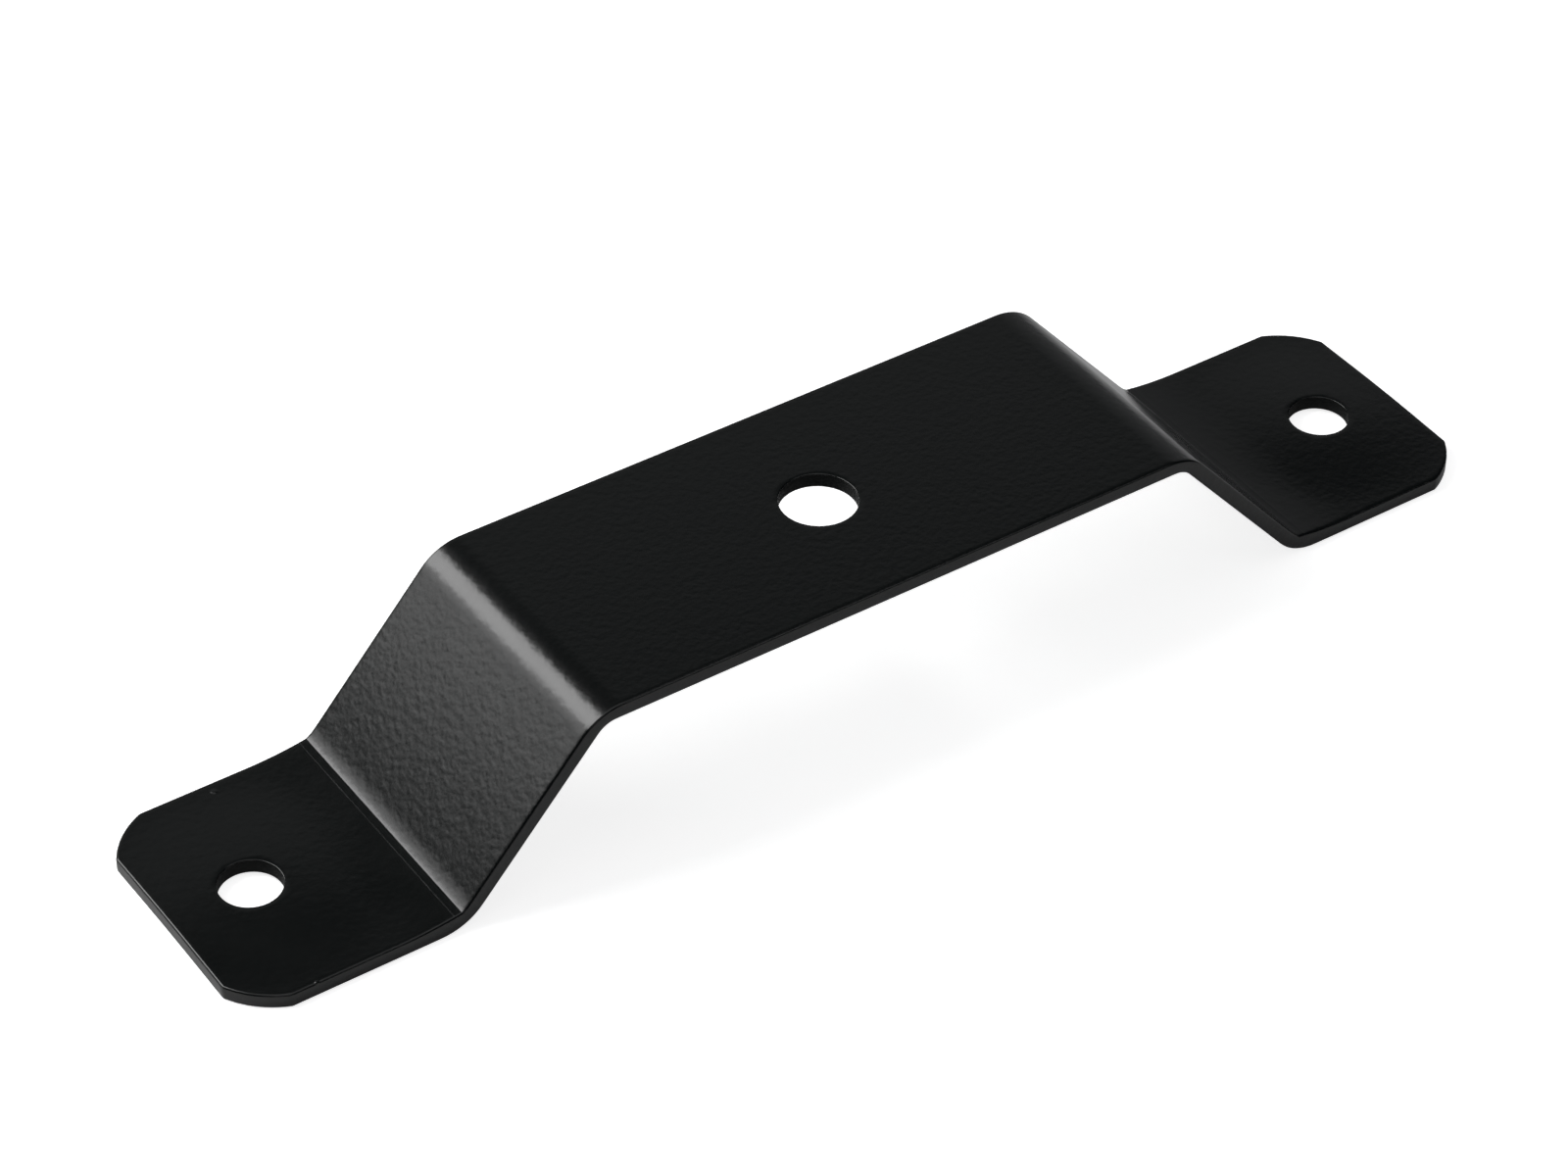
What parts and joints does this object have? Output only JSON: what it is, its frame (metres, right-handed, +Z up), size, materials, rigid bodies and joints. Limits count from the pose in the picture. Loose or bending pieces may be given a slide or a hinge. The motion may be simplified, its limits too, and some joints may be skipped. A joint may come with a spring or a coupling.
{
  "type": "omega bracket",
  "caption": "Folded steel omega bracket: a raised top plate with a screw hole, on two sloping flanks with flat drilled feet, to stand something off a surface.",
  "frame": {"origin": "midway between the two feet, on the surface that they stand on", "axes": "+X along the strip from the middle towards one foot, +Y across the strip, +Z up from the feet towards the top plate"},
  "size_m": [0.15, 0.03, 0.02],
  "materials": {
    "black_powder_coat": "satin black powder coat with a fine orange peel"
  },
  "bodies": {
    "root": {"omega_bracket": "black_powder_coat"}
  },
  "joints": []
}
